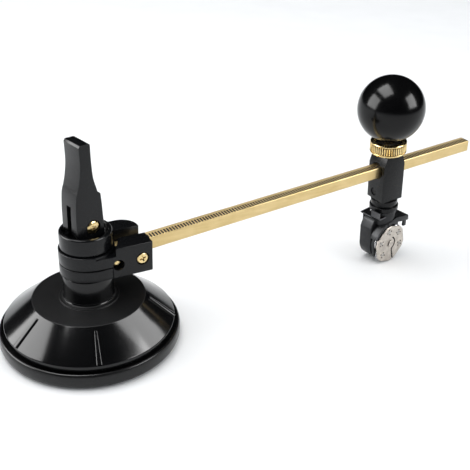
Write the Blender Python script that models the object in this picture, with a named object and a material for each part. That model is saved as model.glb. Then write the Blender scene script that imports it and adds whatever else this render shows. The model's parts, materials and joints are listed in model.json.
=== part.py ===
# Glass circle cutter: suction base, swinging arm, graduated bar and a
# six-wheel turret head. Metres, +Z up. Origin: centre of the suction pad's
# flat underside, on the column axis. +X runs outward along the bar.
import bpy
import bmesh
import math
from mathutils import Matrix, Vector

for ob in list(bpy.data.objects):
    bpy.data.objects.remove(ob, do_unlink=True)
for me in list(bpy.data.meshes):
    bpy.data.meshes.remove(me)

MM = 0.001

# ---------------------------------------------------------------- dimensions
PAD_R = 28.6            # widest radius of the rubber pad
PAD_LIP_Z = 5.5         # top of the raised lip round the pad
RIM_R = 26.8            # base shell, lower rim
RIM_TOP_Z = 7.4
DISC_R = 17.8           # flat disc on top of the shell
DISC_Z = 15.0
BOSS_R = 7.9            # glossy boss under the arm
BOSS_TOP_Z = 24.0
RIB_ANGLES = (-164.5, -103.5, -27.0, 42.0, 95.0)

TUBE_R, TUBE_BORE, TUBE_TOP = 5.2, 3.2, 35.0
RING_R, RING_BORE = 8.5, 5.5
ARM_Z0, ARM_SPLIT, ARM_RING_TOP, ARM_TOP = 24.3, 28.1, 32.6, 34.4
CHEEK_IN, CHEEK_OUT, CHEEK_END = 2.45, 8.85, 18.0
CUP_R, CUP_Z0, CUP_FLOOR, CUP_TOP = 8.0, 32.9, 36.3, 38.4

LEVER_TURN = 14.0       # lever's heading about the column, degrees
PIN_LX, PIN_Z = 0.5, 40.2
LEVER_HALF = 3.95
LEVER_UP = 26.4         # top of the lever above its pin

PIVOT_X, PIVOT_Z = 14.7, 29.1   # screw on which the bar rocks
BAR_HALF = 2.1
BAR_IN, BAR_OUT = 9.0, 154.5
HEAD_X = 116.0          # head's centre, measured along the bar

BLOCK_HX, BLOCK_HY = 4.7, 4.45
BLOCK_LOW, BLOCK_TOP = -12.0, 6.2
BLOCK_SHOULDER = 2.5    # where the chamfers of its two side faces begin
BAR_HOLE_R = 3.15       # round hole that the square bar passes through
NUT_R, NUT_LOW, NUT_TOP = 6.6, 6.7, 11.2
BALL_R, BALL_W = 11.9, 23.1
TURRET_W = -30.9        # turret's axle below the bar's centre line
TURRET_YAW = 9.0        # how far the turret is swung about the head, degrees
WHEEL_PITCH_R, WHEEL_R, WHEEL_T = 5.45, 2.6, 0.8
WHEEL_Y = -3.5          # the wheels' plane in the turret
WHEEL_PHASE = -79.0     # direction of the lowest wheel, degrees
PLATE_FLAT, PLATE_CLIP = 7.35, 7.75
HOUSING_R, HOUSING_BACK = 7.4, 4.6


def wheel_drop(theta):
    """Height of the lowest wheel's bottom when the bar rocks up by theta."""
    yaw, phase = math.radians(TURRET_YAW), math.radians(WHEEL_PHASE)
    x = (HEAD_X - PIVOT_X + WHEEL_PITCH_R * math.cos(phase) * math.cos(yaw)
         - WHEEL_Y * math.sin(yaw))
    w = TURRET_W + WHEEL_PITCH_R * math.sin(phase)
    return PIVOT_Z + x * math.sin(theta) + w * math.cos(theta) - WHEEL_R


lo, hi = 0.0, math.radians(10)
for _ in range(60):
    mid = 0.5 * (lo + hi)
    if wheel_drop(mid) > 0.01:
        hi = mid
    else:
        lo = mid
ROCK = 0.5 * (lo + hi)  # the bar rises outward by this angle at rest

# ----------------------------------------------------------------- materials


def material(name, rgb, rough, metal):
    m = bpy.data.materials.new(name)
    m.use_nodes = True
    b = m.node_tree.nodes["Principled BSDF"]
    b.inputs["Base Color"].default_value = (*rgb, 1)
    b.inputs["Roughness"].default_value = rough
    b.inputs["Metallic"].default_value = metal
    return m


FINISH = {
    "rubber": ((0.025, 0.025, 0.027), 0.55, 0.0),
    "gloss": ((0.012, 0.012, 0.013), 0.15, 0.0),
    "satin": ((0.030, 0.031, 0.033), 0.45, 0.0),
    "brass": ((0.78, 0.66, 0.42), 0.28, 1.0),
    "steel": ((0.62, 0.61, 0.58), 0.35, 1.0),
    "carbide": ((0.36, 0.36, 0.37), 0.25, 1.0),
    "darkmetal": ((0.06, 0.06, 0.065), 0.35, 0.8),
}

# ------------------------------------------------------------ shape building


def turned(profile, seg):
    """Solid of revolution about Z from a closed (r, z) section in mm.
    Points with r = 0 become poles."""
    verts, rows = [], []
    for r, z in profile:
        if r < 1e-9:
            verts.append((0.0, 0.0, z))
            rows.append([len(verts) - 1] * seg)
        else:
            row = []
            for k in range(seg):
                a = 2 * math.pi * k / seg
                verts.append((r * math.cos(a), r * math.sin(a), z))
                row.append(len(verts) - 1)
            rows.append(row)
    faces = []
    n = len(rows)
    for i in range(n):
        a, b = rows[i], rows[(i + 1) % n]
        if profile[i][0] < 1e-9 and profile[(i + 1) % n][0] < 1e-9:
            continue
        for k in range(seg):
            k2 = (k + 1) % seg
            quad = [a[k], a[k2], b[k2], b[k]]
            face = []
            for v in quad:
                if v not in face:
                    face.append(v)
            if len(face) > 2:
                faces.append(face)
    return verts, faces


def prism(outline, lo, hi):
    """Outline (x, y) in mm extruded along Z from lo to hi."""
    n = len(outline)
    verts = [(x, y, lo) for x, y in outline] + [(x, y, hi) for x, y in outline]
    faces = [list(range(n)), list(range(n, 2 * n))]
    for i in range(n):
        j = (i + 1) % n
        faces.append([i, j, n + j, n + i])
    return verts, faces


def box(x0, x1, y0, y1, z0, z1):
    return prism([(x0, y0), (x1, y0), (x1, y1), (x0, y1)], z0, z1)


def disc_outline(r, seg, cx=0.0, cy=0.0, phase=0.0):
    return [(cx + r * math.cos(2 * math.pi * k / seg + phase),
             cy + r * math.sin(2 * math.pi * k / seg + phase))
            for k in range(seg)]


def rod(r, lo, hi, seg=24):
    return prism(disc_outline(r, seg), lo, hi)


def moved(geo, matrix):
    return [tuple(matrix @ Vector(v)) for v in geo[0]], geo[1]


# +Z of a turned or extruded piece laid along +Y (its X stays X, its Y is -Z)
TO_Y = Matrix.Rotation(math.radians(-90), 4, "X")
# outline (x, y) stood up as (x, z), extruded along -Y
STAND = Matrix.Rotation(math.radians(90), 4, "X")
TO_X = Matrix.Rotation(math.radians(90), 4, "Y")


def standing(outline, y0, y1):
    """Outline (x, z) extruded along Y from y0 to y1."""
    return moved(prism(outline, -y1, -y0), STAND)


def along_y(profile, seg, x, y, z):
    return moved(turned(profile, seg), Matrix.Translation((x, y, z)) @ TO_Y)


def rod_y(r, x, z, y0, y1, seg=24):
    return moved(rod(r, y0, y1, seg), Matrix.Translation((x, 0, z)) @ TO_Y)


def rod_x(r, y, z, x0, x1, seg=24):
    return moved(rod(r, x0, x1, seg), Matrix.Translation((0, y, z)) @ TO_X)


def mesh_from(name, geo):
    me = bpy.data.meshes.new(name)
    me.from_pydata([(x * MM, y * MM, z * MM) for x, y, z in geo[0]], [], geo[1])
    bm = bmesh.new()
    bm.from_mesh(me)
    bmesh.ops.remove_doubles(bm, verts=bm.verts, dist=1e-7)
    bmesh.ops.recalc_face_normals(bm, faces=bm.faces)
    bm.to_mesh(me)
    bm.free()
    return me


def frame(name, loc=(0, 0, 0), rot=(0, 0, 0), parent=None):
    e = bpy.data.objects.new(name, None)
    e.location = [v * MM for v in loc]
    e.rotation_euler = rot
    e.parent = parent
    bpy.context.collection.objects.link(e)
    return e


def node(name, geo, finish, parent=None, at=(0, 0, 0), smooth=30):
    """A named piece. Its geometry is given in the parent's millimetres;
    its origin is put at the point 'at'."""
    geo = moved(geo, Matrix.Translation([-v for v in at]))
    me = mesh_from(name, geo)
    ob = bpy.data.objects.new(name, me)
    ob.location = [v * MM for v in at]
    ob.parent = parent
    bpy.context.collection.objects.link(ob)
    me.materials.append(material(name + "_finish", *FINISH[finish]))
    if smooth:
        me.shade_smooth()
        me.set_sharp_from_angle(angle=math.radians(smooth))
    return ob


def tool(ob, name, geo):
    """A hidden cutting or joining shape in the same frame as ob."""
    at = [v / MM for v in ob.location]
    geo = moved(geo, Matrix.Translation([-v for v in at]))
    c = bpy.data.objects.new(ob.name + "_" + name, mesh_from(name, geo))
    c.location = ob.location
    c.parent = ob.parent
    c.hide_render = True
    c.display_type = "WIRE"
    bpy.context.collection.objects.link(c)
    return c


def boolean(ob, name, geo, operation="DIFFERENCE"):
    m = ob.modifiers.new(name, "BOOLEAN")
    m.operation = operation
    m.solver = "EXACT"
    m.object = tool(ob, name, geo)
    return m


def bevel(ob, width, segments=2, angle=30):
    m = ob.modifiers.new("edges", "BEVEL")
    m.width = width * MM
    m.segments = segments
    m.limit_method = "ANGLE"
    m.angle_limit = math.radians(angle)
    m.harden_normals = False
    return m


def arc(cx, cy, r, a0, a1, n):
    return [(cx + r * math.cos(math.radians(a0 + (a1 - a0) * i / n)),
             cy + r * math.sin(math.radians(a0 + (a1 - a0) * i / n)))
            for i in range(n + 1)]


def smooth_line(points, per=4):
    """Catmull-Rom curve through the given points."""
    out = []
    p = [points[0]] + list(points) + [points[-1]]
    for i in range(1, len(p) - 2):
        for s in range(per):
            t = s / per
            q = []
            for k in (0, 1):
                a, b, c, d = (p[i - 1][k], p[i][k], p[i + 1][k], p[i + 2][k])
                q.append(0.5 * (2 * b + (c - a) * t
                                + (2 * a - 5 * b + 4 * c - d) * t * t
                                + (3 * b - 3 * c + d - a) * t ** 3))
            out.append(tuple(q))
    out.append(tuple(points[-1]))
    return out


def cross_recess(ob, x, y, z, size, depth, axis="-Y", turn=20.0):
    """Cross-head driver recess cut into a screw head facing -Y."""
    w = size * 0.26
    for k, a in enumerate((turn, turn + 90)):
        g = box(-size / 2, size / 2, -w / 2, w / 2, 0, depth + 1.0)
        m = (Matrix.Translation((x, y + depth, z))
             @ Matrix.Rotation(math.radians(90), 4, "X")
             @ Matrix.Rotation(math.radians(a), 4, "Z"))
        boolean(ob, "recess%d" % k, moved(g, m))


# ---------------------------------------------------------------- the base
pad_profile = [(0, 0), (26.6, 0), (27.6, 0.4), (28.3, 1.1), (PAD_R, 2.2),
               (28.5, 4.5), (28.2, 5.25), (27.8, PAD_LIP_Z), (27.4, 5.2),
               (27.3, 4.2), (23.3, 4.2), (22.4, 2.3), (0, 2.3)]
node("rubber_pad", turned(pad_profile, 56), "rubber")

shell_profile = [
    (RIM_R, RIM_TOP_Z), (RIM_R, 5.7), (26.3, 5.4), (25.9, 4.6), (24.0, 4.6),
    (23.6, 6.6), (16.4, 12.9), (3.5, 12.9), (3.5, 15.2), (RING_BORE, 15.2),
    (RING_BORE, 23.1), (7.2, 23.1), (7.2, BOSS_TOP_Z), (7.6, BOSS_TOP_Z),
    (BOSS_R, BOSS_TOP_Z - 0.3), (BOSS_R, DISC_Z + 1.2), (8.2, DISC_Z + 0.6),
    (8.7, DISC_Z + 0.4), (9.3, DISC_Z + 0.4), (9.4, DISC_Z),
    (DISC_R - 0.3, DISC_Z), (DISC_R + 0.05, DISC_Z - 0.3)]
shell = node("base_shell", turned(shell_profile, 56), "gloss")
cone_r0, cone_z0 = DISC_R + 0.05, DISC_Z - 0.3
cone_len = math.hypot(RIM_R - cone_r0, cone_z0 - RIM_TOP_Z)
cone_dr = (RIM_R - cone_r0) / cone_len
cone_dz = (cone_z0 - RIM_TOP_Z) / cone_len


def rib(angle):
    """Low tapered rib lying down the cone, round at its upper end."""
    a = math.radians(angle)
    top, low = 0.9, cone_len - 0.25
    half0, half1 = 0.5, 0.95
    pts = [(low, -half1)] + [(top + half0 - half0 * math.sin(math.radians(b)),
                              -half0 * math.cos(math.radians(b)))
                             for b in (0, 30, 60, 90, 120, 150, 180)]
    pts.append((low, half1))
    verts = []
    for n in (-0.5, 0.5):
        for s, t in pts:
            r = cone_r0 + s * cone_dr + n * cone_dz
            z = cone_z0 - s * cone_dz + n * cone_dr
            verts.append((r * math.cos(a) - t * math.sin(a),
                          r * math.sin(a) + t * math.cos(a), z))
    k = len(pts)
    faces = [list(range(k)), list(range(k, 2 * k))]
    faces += [[i, (i + 1) % k, k + (i + 1) % k, k + i] for i in range(k)]
    return verts, faces


for i, a in enumerate(RIB_ANGLES):
    boolean(shell, "rib%d" % i, rib(a), "UNION")

node("column_tube", turned([(TUBE_R, 15.5), (TUBE_R, TUBE_TOP - 0.4),
                            (4.9, TUBE_TOP), (TUBE_BORE, TUBE_TOP),
                            (TUBE_BORE, 15.5)], 32), "steel")
node("thrust_washer_lower", turned([(5.6, 23.4), (6.9, 23.4), (6.9, 24.0),
                                    (5.6, 24.0)], 32), "steel")
node("thrust_washer_upper", turned([
    (5.6, ARM_RING_TOP - 0.6), (6.9, ARM_RING_TOP - 0.6),
    (6.9, ARM_RING_TOP), (5.6, ARM_RING_TOP)], 32), "steel")
node("collar_cup", turned([
    (RING_BORE, CUP_Z0), (7.7, CUP_Z0), (CUP_R, CUP_Z0 + 0.3),
    (CUP_R, CUP_TOP - 0.4), (CUP_R - 0.25, CUP_TOP), (7.05, CUP_TOP),
    (6.8, CUP_TOP - 0.3), (6.8, CUP_FLOOR), (3.25, CUP_FLOOR),
    (3.25, TUBE_TOP + 0.3), (RING_BORE, TUBE_TOP + 0.3)], 40), "satin")

# ------------------------------------------- pull stem, return spring, lever
lever_dir = frame("lever_heading", (0, 0, 0), (0, 0, math.radians(LEVER_TURN)))
stem = node("pull_stem", turned([(0, 3.0), (6.0, 3.0), (6.0, 4.1), (2.9, 4.1),
                                 (2.9, PIN_Z - 6.5), (2.6, PIN_Z - 6.2),
                                 (0, PIN_Z - 6.2)], 32), "steel", lever_dir)
tongue = ([(-2.2, PIN_Z - 7.2), (2.2, PIN_Z - 7.2)]
          + arc(0, PIN_Z + 0.3, 2.2, 0, 180, 12))
boolean(stem, "tongue", standing(tongue, -0.9, 0.9), "UNION")
boolean(stem, "pin_hole", rod_y(1.3, PIN_LX, PIN_Z, -3, 3, 20))


def coil(r, wire, z0, z1, turns, per=12, sides=5):
    """Round-wire compression spring with flat-lying end turns."""
    n = int(turns * per)
    verts, faces = [], []
    for i in range(n + 1):
        t = i / n
        a = 2 * math.pi * turns * t
        # the first and last three quarters of a turn lie nearly flat
        e = 0.75 / turns
        u = min(max((t - e) / (1 - 2 * e), 0.0), 1.0)
        flat = wire * 1.05
        z = z0 + wire / 2
        rise = (z1 - z0 - wire)
        if t < e:
            z += flat * t / e
        elif t > 1 - e:
            z += rise - flat * (1 - t) / e
        else:
            z += flat + (rise - 2 * flat) * u
        for s in range(sides):
            b = 2 * math.pi * s / sides
            rr = r + wire / 2 * math.cos(b)
            verts.append((rr * math.cos(a), rr * math.sin(a),
                          z + wire / 2 * math.sin(b)))
    for i in range(n):
        for s in range(sides):
            s2 = (s + 1) % sides
            faces.append([i * sides + s, (i + 1) * sides + s,
                          (i + 1) * sides + s2, i * sides + s2])
    faces.append(list(range(sides)))
    faces.append([n * sides + s for s in range(sides)])
    return verts, faces


node("return_spring", coil(4.6, 0.7, 4.45, 12.55, 4.5), "steel")

pin_dir = frame("lever_pin_axis",
                (PIN_LX * math.cos(math.radians(LEVER_TURN)),
                 PIN_LX * math.sin(math.radians(LEVER_TURN)), PIN_Z),
                (0, 0, math.radians(LEVER_TURN)))
# side outline of the lever: x from the column axis, height from the pin
left = smooth_line([(-5.2, -0.6), (-5.15, 2.2), (-5.1, 5.7), (-4.75, 10.4),
                    (-3.95, 13.1), (-3.25, 16.1), (-2.8, 20.2), (-2.9, 25.7)])
right = smooth_line([(0.8, 25.8), (0.85, 22.1), (1.05, 18.1), (1.4, 15.3),
                     (2.2, 12.4), (2.6, 10.8)])
right2 = smooth_line([(3.4, 10.5), (3.55, 9.4), (3.8, 6.1), (4.1, 0.7),
                      (4.15, -2.8)])
outline = (arc(-2.2, -0.65, 3.0, 270, 182, 8) + left
           + [(-2.5, LEVER_UP - 0.05), (-2.2, LEVER_UP),
              (0.3, LEVER_UP), (0.7, LEVER_UP - 0.15)]
           + right + right2 + [(3.75, -3.65)])
outline = [(x - PIN_LX, z) for x, z in outline]
lever = node("lever", standing(outline, -LEVER_HALF, LEVER_HALF), "satin",
             pin_dir)
bevel(lever, 0.5, 2, 40)
boolean(lever, "slot", box(-8, 3.3 - PIN_LX, -1.1, 1.1, -6, 7.2))
boolean(lever, "pin_hole", rod_y(1.3, 0, 0, -6, 6, 20))
boolean(lever, "head_seat", rod_y(2.4, 0, 0, -6, -2.8, 28))
boolean(lever, "end_seat", rod_y(2.2, 0, 0, 2.9, 6, 28))

pin = node("lever_pin", along_y(
    [(0, -4.1), (1.5, -4.1), (2.1, -3.75), (2.1, -3.1), (1.0, -3.1),
     (1.0, 3.2), (1.9, 3.2), (1.9, 3.7), (1.6, 3.95), (0, 3.95)],
    28, 0, 0, 0), "brass", pin_dir)
cross_recess(pin, 0, -4.1, 0, 2.4, 0.55)

# ------------------------------------------------------------------ the arm


def ring_outline(front_x, rear_x):
    """Ring in plan with flat flanks that run out to the cheeks' faces."""
    t = (CHEEK_OUT - RING_R * math.sin(math.radians(105))) / math.tan(
        math.radians(15))
    xt = RING_R * math.cos(math.radians(105)) + t
    pts = arc(0, 0, RING_R, 105, 255, 30)
    pts += [(xt, -CHEEK_OUT), (front_x, -CHEEK_OUT)]
    a = math.degrees(math.acos(min(front_x, 7.0) / RING_R))
    b = math.degrees(math.acos(min(rear_x, 7.0) / RING_R))
    pts += arc(0, 0, RING_R, -a, b, 14)
    pts += [(rear_x, CHEEK_OUT), (xt, CHEEK_OUT)]
    return pts


BUTT = 5.0      # where the other half's ring flank meets a cheek
CLAMP_Z = PIVOT_Z - 0.5
clear_r = RING_R + 0.15
notch = [(3.0, -10.0), (6.2, -9.6), (6.2, -CHEEK_OUT), (9.4, -CHEEK_IN),
         (9.4, -1.0), (0.0, -1.0), (0.0, -10.0)]


def half_bores(ob, lo):
    boolean(ob, "column_bore", rod(RING_BORE, 20, 40, 32))
    boolean(ob, "pivot_bore", rod_y(1.2, PIVOT_X, PIVOT_Z, -12, 7.2, 20))
    boolean(ob, "clamp_bore", rod_y(1.2, 7.0, CLAMP_Z, -12, 6.0, 20))


front = node("arm_front_half", prism(ring_outline(6.9, BUTT), ARM_SPLIT + 0.15,
                                     ARM_RING_TOP), "satin")
cheek = box(BUTT + 0.12, CHEEK_END, -CHEEK_OUT, -CHEEK_IN, ARM_Z0, ARM_TOP)
boolean(front, "cheek", cheek, "UNION")
bevel(front, 0.22, 1, 50)
boolean(front, "ring_clearance", rod(clear_r, 20, ARM_SPLIT, 48))
groove = prism(notch, 31.7, 36.0)
boolean(front, "end_notch", groove)
front.modifiers["end_notch"].object.modifiers.new("keep_ring", "BOOLEAN")
keep = front.modifiers["end_notch"].object.modifiers["keep_ring"]
keep.operation = "DIFFERENCE"
keep.solver = "EXACT"
keep.object = tool(front, "ring_body", rod(RING_R - 0.02, 20, ARM_RING_TOP - 0.03, 64))
boolean(front, "washer_seat", rod(7.2, ARM_RING_TOP - 0.9, 40, 32))
half_bores(front, 0)
boolean(front, "pivot_seat", rod_y(2.12, PIVOT_X, PIVOT_Z, -12, -7.5, 32))
boolean(front, "clamp_seat", rod_y(1.8, 7.0, CLAMP_Z, -12, -6.0, 32))

rear = node("arm_rear_half", prism(ring_outline(BUTT, 6.9), ARM_Z0,
                                   ARM_SPLIT - 0.15),
            "satin")
corner = 5.5
plan = ([(BUTT + 0.12, CHEEK_IN), (CHEEK_END, CHEEK_IN)]
        + arc(CHEEK_END - corner, CHEEK_OUT - corner, corner, 0, 90, 10)
        + [(BUTT + 0.12, CHEEK_OUT)])
boolean(rear, "cheek", prism(plan, ARM_Z0, ARM_TOP), "UNION")
bevel(rear, 0.22, 1, 50)
boolean(rear, "ring_clearance", rod(clear_r, ARM_SPLIT, 40, 48))
boolean(rear, "end_notch", prism([(x, -y) for x, y in notch], 31.7, 36.0))
half_bores(rear, 0)
boolean(rear, "clamp_seat", rod_y(1.8, 7.0, CLAMP_Z, -12, -6.0, 32))

pivot = node("bar_pivot_screw", along_y(
    [(0, -8.8), (1.6, -8.8), (1.82, -8.6), (1.82, -7.8), (1.0, -7.8),
     (1.0, 6.7), (0.8, 6.9), (0, 6.9)], 28, PIVOT_X, 0, PIVOT_Z),
    "brass", None, (PIVOT_X, 0, PIVOT_Z))
cross_recess(pivot, PIVOT_X, -8.8, PIVOT_Z, 2.2, 0.6)
node("clamp_screw", along_y(
    [(0, -7.5), (0.8, -7.4), (1.35, -7.0), (1.5, -6.3), (0.9, -6.3),
     (0.9, 5.5), (0.7, 5.7), (0, 5.7)], 24, 7.0, 0, CLAMP_Z), "brass")

# --------------------------------------------- graduated bar and clamp head
# The bar's frame sits on the pivot screw; its X runs along the bar and its Z
# is 'w', the height above the bar's centre line.
bar_dir = frame("bar_rock", (PIVOT_X, 0, PIVOT_Z), (0, -ROCK, 0))
bar = node("scale_bar", box(BAR_IN - PIVOT_X, BAR_OUT - PIVOT_X, -BAR_HALF,
                            BAR_HALF, -BAR_HALF, BAR_HALF), "brass", bar_dir)
bevel(bar, 0.25, 2)
boolean(bar, "pivot_bore", rod_y(1.3, 0, 0, -4, 4, 20))

head_dir = frame("head", (HEAD_X - PIVOT_X, 0, 0), (0, 0, 0), bar_dir)
block = node("head_block", box(-BLOCK_HX, BLOCK_HX, -BLOCK_HY, BLOCK_HY,
                               BLOCK_LOW, BLOCK_TOP), "satin", head_dir)
top_hx = BLOCK_HX - 1.3
boolean(block, "chamfers", standing(
    [(-9, BLOCK_LOW - 1), (9, BLOCK_LOW - 1), (9, BLOCK_SHOULDER),
     (BLOCK_HX + 0.001, BLOCK_SHOULDER), (top_hx, BLOCK_TOP), (top_hx, 9),
     (-top_hx, 9), (-top_hx, BLOCK_TOP), (-BLOCK_HX - 0.001, BLOCK_SHOULDER),
     (-9, BLOCK_SHOULDER)], -9, 9), "INTERSECT")
bevel(block, 0.2, 2)
boolean(block, "bar_hole", rod_x(BAR_HOLE_R, 0, 0, -8, 8, 32))
boolean(block, "stud_bore", rod(2.0, 0, 8, 24))
boolean(block, "swivel_bore", rod(2.4, -16, -5.0, 24))
boolean(block, "set_screw_bore", rod_x(1.5, 0.8, -9.0, -8, -1.5, 24))
node("block_set_screw", moved(turned(
    [(0, -4.4), (0.5, -4.4), (0.55, -3.7), (0.75, -3.7), (0.75, -4.4),
     (1.2, -4.4), (1.2, -2.5), (0.4, -2.3), (0.4, -1.75), (0, -1.75)], 20),
    Matrix.Translation((0, 0.8, -9.0)) @ TO_X), "steel", head_dir)

node("pressure_pad", turned([(0, 2.35), (1.4, 2.35), (1.6, 2.5), (1.6, 3.0),
                             (0, 3.0)], 24), "steel", head_dir)
node("clamp_stud", turned([(0, 3.3), (1.3, 3.3), (1.6, 3.6), (1.6, 18.3),
                           (1.3, 18.6), (0, 18.6)], 24), "brass", head_dir)
node("lock_nut", turned([(2.0, NUT_LOW), (5.9, NUT_LOW), (NUT_R, NUT_LOW + .6),
                         (NUT_R, NUT_TOP - 0.6), (5.9, NUT_TOP),
                         (5.0, NUT_TOP), (4.7, NUT_TOP - 0.8),
                         (2.0, NUT_TOP - 0.8)], 40), "brass", head_dir)
low = BALL_R - 0.3
flat = math.sqrt(BALL_R ** 2 - low ** 2)
ball = [(1.95, BALL_W - low), (flat, BALL_W - low)]
a0 = math.degrees(math.asin(-low / BALL_R))
for i in range(1, 16):
    a = math.radians(a0 + (90 - a0) * i / 16)
    ball.append((BALL_R * math.cos(a), BALL_W + BALL_R * math.sin(a)))
ball += [(0, BALL_W + BALL_R), (0, 19.0), (1.95, 19.0)]
node("ball_knob", turned(ball, 32), "gloss", head_dir)

node("neck_collar", turned([(2.4, -16.8), (5.1, -16.8), (5.4, -16.5),
                            (5.4, -14.8), (4.5, -14.7), (4.5, -14.3),
                            (5.0, -14.2), (5.0, -12.4), (4.9, -12.3),
                            (2.4, -12.3)], 28), "satin", head_dir)

# ------------------------------------------------------------- turret head
swivel_dir = frame("swivel", (0, 0, 0), (0, 0, math.radians(TURRET_YAW)),
                   head_dir)
W = TURRET_W
node("swivel_stem", turned([(0, W + 8.7), (1.9, W + 8.7), (2.0, W + 8.9),
                            (2.0, -9.8), (1.5, -9.7), (1.5, -8.3),
                            (2.0, -8.2), (2.0, -5.6), (1.7, -5.3),
                            (0, -5.3)], 24), "steel", swivel_dir)
GUARD_R = 8.35      # inside of the guard round the wheels
HR = HOUSING_R
block_outline = ([(-HR, W), (-HR, W + 7.2), (-6.1, W + 10.2), (-4.8, W + 11.4),
                  (-2.8, W + 11.8), (5.2, W + 11.6), (8.2, W + 8.9),
                  (8.5, W + 5.2), (8.2, W + 0.8)]
                 + arc(0, W, HR, -9, -171, 18))
housing = node("turret_housing", standing(block_outline, -1.1, HOUSING_BACK),
               "darkmetal", swivel_dir)
bevel(housing, 0.2, 2, 25)
guard = ([(-8.0, 4.2), (-7.1, 6.0), (-4.9, 8.25), (-2.0, 9.7), (0.5, 10.3),
          (0.5, GUARD_R + 0.1)]
         + arc(0, 0, GUARD_R, 92, 152, 12))
guard = [(x, z + W) for x, z in guard]
boolean(housing, "guard", standing(guard, -4.6, -1.5), "UNION")
wing = [(-2.0, 9.65), (2.4, 10.6), (9.2, 9.4), (9.4, 7.3), (7.6, 7.5),
        (5.4, 8.0), (2.7, 8.6), (0.0, 8.75), (-2.0, 8.5)]
wing = [(x, z + W) for x, z in wing]
boolean(housing, "wing", standing(wing, -4.9, HOUSING_BACK - 0.6), "UNION")
boolean(housing, "wing_tab", box(6.9, 8.3, -4.8, -4.0, W + 5.2, W + 7.9),
        "UNION")
boolean(housing, "swivel_boss", rod(4.6, W + 8.6, -17.2, 32), "UNION")
boolean(housing, "stem_bore", rod(2.3, W + 8.4, -10, 24))
boolean(housing, "turret_bore", rod_y(5.5, 0, W, -6, 2.9, 40))
boolean(housing, "axle_bore", rod_y(1.3, 0, W, 0, 9, 20))
boolean(housing, "detent_window", rod_y(1.0, -4.0, W, 2, 9, 16))

HB = HOUSING_BACK
spring = node("index_spring", box(-6.7, -1.0, -4.0, HB + 0.8, W + 12.2,
                                  W + 12.7), "steel", swivel_dir)
boolean(spring, "tab", box(-6.7, -6.2, -4.0, 0.0, W + 12.4, W + 15.4), "UNION")
boolean(spring, "leg", box(-5.3, -2.9, HB + 0.3, HB + 0.8, W - 1.1, W + 12.5),
        "UNION")
boolean(spring, "tip", rod_y(0.6, -4.0, W, 3.2, HB + 0.5, 12), "UNION")
boolean(spring, "boss_clearance", rod(4.9, -22, -10, 32))

turret_dir = frame("turret", (0, 0, W), (0, 0, 0), swivel_dir)
node("turret_axle", along_y(
    [(0, -5.75), (0.9, -5.65), (1.5, -5.2), (1.0, -5.2), (1.0, HB + 1.0),
     (1.5, HB + 1.0), (1.4, HB + 1.35), (0, HB + 1.5)], 24, 0, 0, 0),
    "steel", turret_dir)
node("axle_washer", along_y([(1.3, HB + 0.3), (2.3, HB + 0.3),
                             (2.3, HB + 0.7), (1.3, HB + 0.7)],
                            24, 0, 0, 0), "steel", turret_dir)

wheels = [(WHEEL_PITCH_R * math.cos(math.radians(WHEEL_PHASE + 60 * k)),
           WHEEL_PITCH_R * math.sin(math.radians(WHEEL_PHASE + 60 * k)))
          for k in range(6)]


def six_sided(flat_d, clip_d):
    """Hexagon in (x, z), its corners over the wheels and cut square."""
    rc = flat_d / math.cos(math.radians(30))
    half = (rc - clip_d) * math.tan(math.radians(60))
    pts = []
    for k in range(6):
        a = math.radians(WHEEL_PHASE + 60 * k)
        c, s = math.cos(a), math.sin(a)
        for t in (-half, half):
            pts.append((clip_d * c - t * s, clip_d * s + t * c))
    return pts


plate = node("turret_plate", standing(six_sided(PLATE_FLAT, PLATE_CLIP),
                                      -4.9, -4.3),
             "steel", turret_dir)
bevel(plate, 0.15, 1)
boolean(plate, "axle_bore", rod_y(1.3, 0, 0, -6, -3, 20))
tbody = node("turret_body", standing(six_sided(7.0, 7.4), -2.8, -1.4),
             "darkmetal", turret_dir)
bevel(tbody, 0.15, 1)
boolean(tbody, "spigot", rod_y(5.2, 0, 0, -2.0, 2.85, 40), "UNION")
boolean(tbody, "hub", rod_y(1.9, 0, 0, -4.0, -2.0, 24), "UNION")
boolean(tbody, "axle_bore", rod_y(1.3, 0, 0, -6, 6, 20))
for k, (x, z) in enumerate(wheels):
    boolean(plate, "wheel_axle_bore%d" % k, rod_y(0.75, x, z, -6, -3, 10))
    boolean(tbody, "wheel_axle_bore%d" % k, rod_y(0.75, x, z, -4, -1.6, 10))
for k in range(6):
    a = math.radians(180 + 60 * k)
    boolean(tbody, "detent%d" % k, rod_y(0.7, 4.0 * math.cos(a),
                                         4.0 * math.sin(a), 2.3, 4, 10))

for k, (x, z) in enumerate(wheels):
    node("wheel_axle_%d" % (k + 1), rod_y(0.45, x, z, -4.95, -1.9, 12),
         "steel", turret_dir)

half_t = WHEEL_T / 2
for k, (x, z) in enumerate(wheels):
    prof = [(0.75, -half_t), (WHEEL_R - 0.5, -half_t), (WHEEL_R, -0.04),
            (WHEEL_R, 0.04), (WHEEL_R - 0.5, half_t), (0.75, half_t)]
    node("cutting_wheel_%d" % (k + 1), along_y(prof, 20, x, WHEEL_Y, z),
         "carbide", turret_dir, (x, WHEEL_Y, z))
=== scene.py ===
import bpy
import bmesh
import json
import math
from mathutils import Matrix, Vector, noise


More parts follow.
